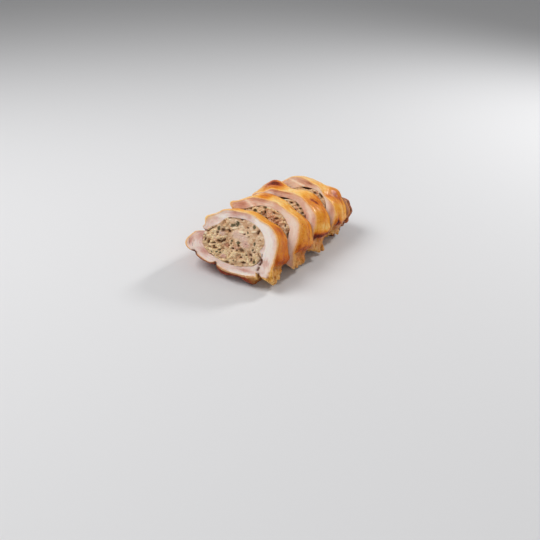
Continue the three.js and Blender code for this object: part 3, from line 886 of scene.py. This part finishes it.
class Look:
    """A node material, built from the coordinates and masks that the meshes carry."""

    def __init__(self, name):
        self.material = bpy.data.materials.new(name)
        self.material.use_nodes = True
        self.nodes = self.material.node_tree.nodes
        self.links = self.material.node_tree.links
        self.shader = self.nodes["Principled BSDF"]
        self.place = self.mask("place", "Vector")

    def feed(self, socket, value):
        if isinstance(value, bpy.types.NodeSocket):
            self.links.new(value, socket)
        else:
            socket.default_value = value

    def mask(self, name, output="Fac"):
        node = self.nodes.new("ShaderNodeAttribute")
        node.attribute_name = name
        return node.outputs[output]

    def stretched(self, x, y, z):
        node = self.nodes.new("ShaderNodeVectorMath")
        node.operation = "MULTIPLY"
        self.links.new(self.place, node.inputs[0])
        node.inputs[1].default_value = (x, y, z)
        return node.outputs[0]

    def noise(self, scale, detail=3, roughness=0.55, vector=None):
        node = self.nodes.new("ShaderNodeTexNoise")
        self.links.new(vector or self.place, node.inputs["Vector"])
        node.inputs["Scale"].default_value = scale
        node.inputs["Detail"].default_value = detail
        node.inputs["Roughness"].default_value = roughness
        return node.outputs["Fac"]

    def math(self, operation, first, second=0.0, clamp=False):
        node = self.nodes.new("ShaderNodeMath")
        node.operation = operation
        node.use_clamp = clamp
        self.feed(node.inputs[0], first)
        self.feed(node.inputs[1], second)
        return node.outputs[0]

    def swing(self, value, amount):
        """value from 0 to 1 as a change from -amount to amount."""
        return self.math("MULTIPLY", self.math("SUBTRACT", value, 0.5), 2 * amount)

    def mix(self, factor, first, second):
        node = self.nodes.new("ShaderNodeMix")
        node.data_type = "RGBA"
        self.feed(node.inputs["Factor"], factor)
        self.feed(node.inputs[6], first)
        self.feed(node.inputs[7], second)
        return node.outputs[2]

    def ramp(self, factor, stops):
        node = self.nodes.new("ShaderNodeValToRGB")
        elements = node.color_ramp.elements
        while len(elements) < len(stops):
            elements.new(0.5)
        for element, (position, colour) in zip(elements, stops):
            element.position = position
            element.color = colour
        self.links.new(factor, node.inputs["Fac"])
        return node.outputs["Color"]

    def bump(self, height, distance, strength=1.0):
        node = self.nodes.new("ShaderNodeBump")
        node.inputs["Strength"].default_value = strength
        node.inputs["Distance"].default_value = distance * 0.001
        self.links.new(height, node.inputs["Height"])
        return node.outputs["Normal"]


RIND_COLOURS = [
    (0.0, srgb(254, 226, 168)),
    (0.2, srgb(254, 202, 118)),
    (0.38, srgb(246, 171, 62)),
    (0.54, srgb(229, 138, 18)),
    (0.68, srgb(207, 104, 4)),
    (0.82, srgb(166, 64, 2)),
    (0.93, srgb(126, 36, 2)),
    (1.0, srgb(80, 22, 2)),
]
FLESH_COLOURS = [
    (0.0, srgb(250, 238, 230)),
    (0.3, srgb(241, 219, 209)),
    (0.55, srgb(224, 186, 174)),
    (0.8, srgb(204, 148, 134)),
    (1.0, srgb(170, 110, 90)),
]
WARM_FLESH_COLOURS = [
    (0.0, srgb(246, 222, 198)),
    (0.3, srgb(234, 198, 168)),
    (0.55, srgb(222, 172, 140)),
    (0.8, srgb(204, 144, 114)),
    (1.0, srgb(168, 104, 74)),
]


def meat_look(part):
    look = Look(part["name"] + "_meat_and_rind")
    # Streaks of the flesh run round the ring, so their coordinates count its depth too
    flesh_grain = look.noise(1, 4, 0.55, look.mask("grain", "Vector"))
    flesh_fine = look.noise(2.6, 3)
    flesh = look.math("ADD", look.mask("flesh"), look.swing(flesh_grain, 0.24))
    flesh = look.math("ADD", flesh, look.swing(flesh_fine, 0.15), True)
    cool = look.ramp(flesh, FLESH_COLOURS)
    warm = look.ramp(flesh, WARM_FLESH_COLOURS)
    flesh_colour = look.mix(part["warmth"], cool, warm)
    skin_colour = look.ramp(look.noise(0.5, 3), [
        (0.3, srgb(244, 204, 146)),
        (0.7, srgb(232, 164, 86)),
    ])
    skin = look.math("MULTIPLY", look.mask("skin"), 0.9)
    face = look.mix(skin, flesh_colour, skin_colour)

    bands = look.noise(1, 3, 0.5, look.stretched(0.06, 0.06, 0.7))
    mottle = look.noise(0.3, 5, 0.6)
    blisters = look.noise(0.75, 3, 0.6)
    pores = look.noise(1.5, 4, 0.6)
    # roast_and_shade carries the rind's browning and the painted shade of its underside and grooves
    roast_and_shade = look.math("ADD", look.mask("roast_and_shade"), look.swing(bands, 0.05))
    roast_and_shade = look.math("ADD", roast_and_shade, look.swing(mottle, 0.22 * part["mottling"]))
    roast_and_shade = look.math("ADD", roast_and_shade, look.swing(blisters, 0.16 * part["mottling"]))
    roast_and_shade = look.math("ADD", roast_and_shade, look.swing(pores, 0.08), True)
    rind_colour = look.ramp(roast_and_shade, RIND_COLOURS)
    rag_colour = look.ramp(look.math("ADD", mottle, look.swing(pores, 0.3)), [
        (0.3, srgb(118, 70, 20)),
        (0.45, srgb(188, 132, 56)),
        (0.65, srgb(238, 196, 120)),
    ])
    rag = look.math("MULTIPLY", look.mask("torn"), 0.9)
    rind_colour = look.mix(rag, rind_colour, rag_colour)
    bare_colour = look.ramp(look.math("ADD", look.noise(0.42, 4, 0.6), look.swing(pores, 0.15)), [
        (0.34, srgb(50, 16, 6)),
        (0.44, srgb(104, 46, 20)),
        (0.56, srgb(150, 82, 52)),
        (0.68, srgb(200, 136, 106)),
    ])
    bare = look.ramp(look.noise(0.12, 3), [(0.4, (0.3, 0.3, 0.3, 1)), (0.58, (1, 1, 1, 1))])
    bare = look.math("MULTIPLY", bare, 0.9 if "dome" in part else 0.0)
    rind_colour = look.mix(bare, rind_colour, bare_colour)
    rind = look.mask("rind")
    colour = look.mix(rind, face, rind_colour)
    # Cracks in the cut: partly their own red-brown, partly painted shade in the gap
    colour = look.mix(look.mask("shaded_crack"), colour, srgb(98, 44, 22))
    colour = look.mix(look.mask("burn"), colour, srgb(84, 34, 16))
    look.feed(look.shader.inputs["Base Color"], colour)

    face_rough = look.math("ADD", 0.46, look.swing(flesh_fine, 0.14))
    rind_rough = look.math("ADD", 0.36, look.swing(mottle, 0.2))
    difference = look.math("SUBTRACT", rind_rough, face_rough)
    roughness = look.math("ADD", face_rough, look.math("MULTIPLY", rind, difference))
    look.feed(look.shader.inputs["Roughness"], roughness)
    greasy = look.ramp(roast_and_shade, [(0.7, (0.28, 0.28, 0.28, 1)), (0.95, (0.06, 0.06, 0.06, 1))])
    look.feed(look.shader.inputs["Coat Weight"], look.math("MULTIPLY", rind, greasy))
    look.shader.inputs["Specular IOR Level"].default_value = 0.09
    look.shader.inputs["Coat Roughness"].default_value = 0.1
    look.shader.inputs["Coat IOR"].default_value = 1.4
    look.shader.inputs["Subsurface Weight"].default_value = 0.2
    look.shader.inputs["Subsurface Radius"].default_value = (1, 0.45, 0.25)
    look.shader.inputs["Subsurface Scale"].default_value = 0.002
    face_height = look.math("MULTIPLY", look.math("ADD", flesh_grain, flesh_fine), 0.3)
    rind_height = look.math("MULTIPLY", look.math("ADD", pores, blisters), 0.35)
    difference = look.math("SUBTRACT", rind_height, face_height)
    height = look.math("ADD", face_height, look.math("MULTIPLY", rind, difference))
    look.feed(look.shader.inputs["Normal"], look.bump(height, 0.3))
    look.feed(look.shader.inputs["Coat Normal"], look.bump(blisters, 0.25))
    return look.material


def stuffing_look(part):
    look = Look(part["name"] + "_stuffing")
    speckle = look.noise(1.7, 4, 0.6)
    patch = look.noise(0.2, 3)
    tone = look.math("ADD", look.mask("tone"), look.swing(speckle, 0.3), True)
    tan = look.ramp(tone, [
        (0.0, srgb(198, 146, 96)),
        (0.35, srgb(222, 180, 138)),
        (0.65, srgb(238, 204, 164)),
        (1.0, srgb(250, 230, 196)),
    ])
    pinkish = look.ramp(tone, [
        (0.0, srgb(190, 142, 116)),
        (0.5, srgb(218, 178, 154)),
        (1.0, srgb(240, 210, 188)),
    ])
    firm = look.math("SUBTRACT", 1.2, look.mask("loose"))
    patched = look.ramp(look.math("MULTIPLY", patch, firm), [
        (0.25, (0, 0, 0, 1)),
        (0.6, (1, 1, 1, 1)),
    ])
    colour = look.mix(look.math("MULTIPLY", patched, part["pinkness"]), tan, pinkish)
    lump = look.ramp(speckle, [(0.3, srgb(204, 158, 144)), (0.7, srgb(236, 208, 196))])
    for mask, amount, tint in (
        # Painted highlight: the most raised crumbs are tinted light cream
        ("top", 0.3, srgb(250, 226, 182)),
        # Raised edges: their own cream colour with a painted highlight
        ("highlit_ridge", 0.6, srgb(252, 226, 176)),
        # Painted shade: the hollows between crumbs are tinted dark brown
        ("shaded_hollow", 0.7, srgb(162, 106, 62)),
        # Painted shade: the gaps between crumbs are tinted brown
        ("shaded_seam", 0.4, srgb(160, 108, 68)),
        ("lump", 0.7, lump),
        ("rosy", 0.4, srgb(208, 138, 122)),
        ("fat", 0.8, srgb(248, 230, 196)),
        # Painted shade round each pit
        ("shaded_halo", 0.4, srgb(144, 94, 54)),
        ("herb", 0.92, look.ramp(speckle, [(0.35, srgb(34, 32, 10)), (0.62, srgb(98, 92, 52))])),
        # Holes and cracks: dark brown, partly their own colour and partly painted shade
        ("shaded_pit", 0.85, srgb(92, 56, 28)),
    ):
        colour = look.mix(look.math("MULTIPLY", look.mask(mask), amount), colour, tint)
    look.feed(look.shader.inputs["Base Color"], colour)
    roughness = look.math("ADD", 0.55, look.swing(speckle, 0.2))
    look.feed(look.shader.inputs["Roughness"], roughness)
    look.shader.inputs["Specular IOR Level"].default_value = 0.35
    look.shader.inputs["Subsurface Weight"].default_value = 0.12
    look.shader.inputs["Subsurface Radius"].default_value = (1, 0.5, 0.3)
    look.shader.inputs["Subsurface Scale"].default_value = 0.0012
    look.feed(look.shader.inputs["Normal"], look.bump(speckle, 0.3))
    return look.material


# Assembly
for index, part in enumerate(ROW):
    part["seed"] = 10 * index
    part["matrix"] = slice_matrix(part)
for index, part in enumerate(ROW):
    part["next_cut"] = None
    if index + 1 < len(ROW):
        matrix = ROW[index + 1]["matrix"]
        part["next_cut"] = (matrix[:3, 3], matrix[:3, 2])

PINKNESS = {"slice_1": 0.35, "slice_2": 0.75}
for part in ROW:
    part["pinkness"] = PINKNESS.get(part["name"], 0.5)
    meat = make_meat(part)
    meat.data.materials.append(meat_look(part))
    stuffing = make_stuffing(part)
    stuffing.data.materials.append(stuffing_look(part))
    for piece, node, slot in (
        (meat, "meat", "rind" if "dome" in part else "meat"),
        (stuffing, "stuffing", "stuffing"),
    ):
        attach(piece, "root")
        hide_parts(part["name"] + "_" + node)

# Floor, light and camera
floor_mesh = bpy.data.meshes.new("floor")
half = 3.0
floor_mesh.from_pydata(
    [(-half, -half, 0), (half, -half, 0), (half, half, 0), (-half, half, 0)], [], [(0, 1, 2, 3)]
)
floor = bpy.data.objects.new("floor", floor_mesh)
bpy.context.scene.collection.objects.link(floor)
floor_material = bpy.data.materials.new("pale_floor")
floor_material.use_nodes = True
floor_shader = floor_material.node_tree.nodes["Principled BSDF"]
floor_shader.inputs["Base Color"].default_value = (0.72, 0.72, 0.73, 1)
floor_shader.inputs["Roughness"].default_value = 0.7
floor_mesh.materials.append(floor_material)

CAMERA_PLACE = (0.235014, -0.353909, 0.249032)
CAMERA_RIGHT = (0.82206, 0.56892, 0.02349)
CAMERA_UP = (-0.3241, 0.43358, 0.84081)
CAMERA_BACK = (0.46817, -0.69881, 0.54082)
CAMERA_LENS = 38.8


def add_lamp(name, direction, distance, size, watts, colour=(1, 1, 1)):
    lamp = bpy.data.lights.new(name, "AREA")
    lamp.size = size
    lamp.energy = watts
    lamp.color = colour
    made = bpy.data.objects.new(name, lamp)
    target = Vector((0, 0, 0.02))
    toward = Vector(direction).normalized()
    made.location = target + toward * distance
    made.rotation_euler = toward.to_track_quat("Z", "Y").to_euler()
    bpy.context.scene.collection.objects.link(made)


add_lamp("key", (-0.55, -0.35, 0.9), 0.9, 0.5, 5.1)
add_lamp("back", (0.3, 0.8, 0.6), 0.9, 0.14, 3.4)
add_lamp("fill", (0.8, -0.8, 0.5), 1.0, 0.7, 1.6)

world = bpy.data.worlds.new("studio")
world.use_nodes = True
world.node_tree.nodes["Background"].inputs["Color"].default_value = (1, 1, 1, 1)
world.node_tree.nodes["Background"].inputs["Strength"].default_value = 0.27
bpy.context.scene.world = world
bpy.context.scene.view_settings.view_transform = "Standard"

camera_data = bpy.data.cameras.new("camera")
camera_data.sensor_width = 36
camera_data.lens = CAMERA_LENS
camera = bpy.data.objects.new("camera", camera_data)
axes = Matrix((CAMERA_RIGHT, CAMERA_UP, CAMERA_BACK)).transposed().to_4x4()
camera.matrix_world = Matrix.Translation(CAMERA_PLACE) @ axes
bpy.context.scene.collection.objects.link(camera)
bpy.context.scene.camera = camera
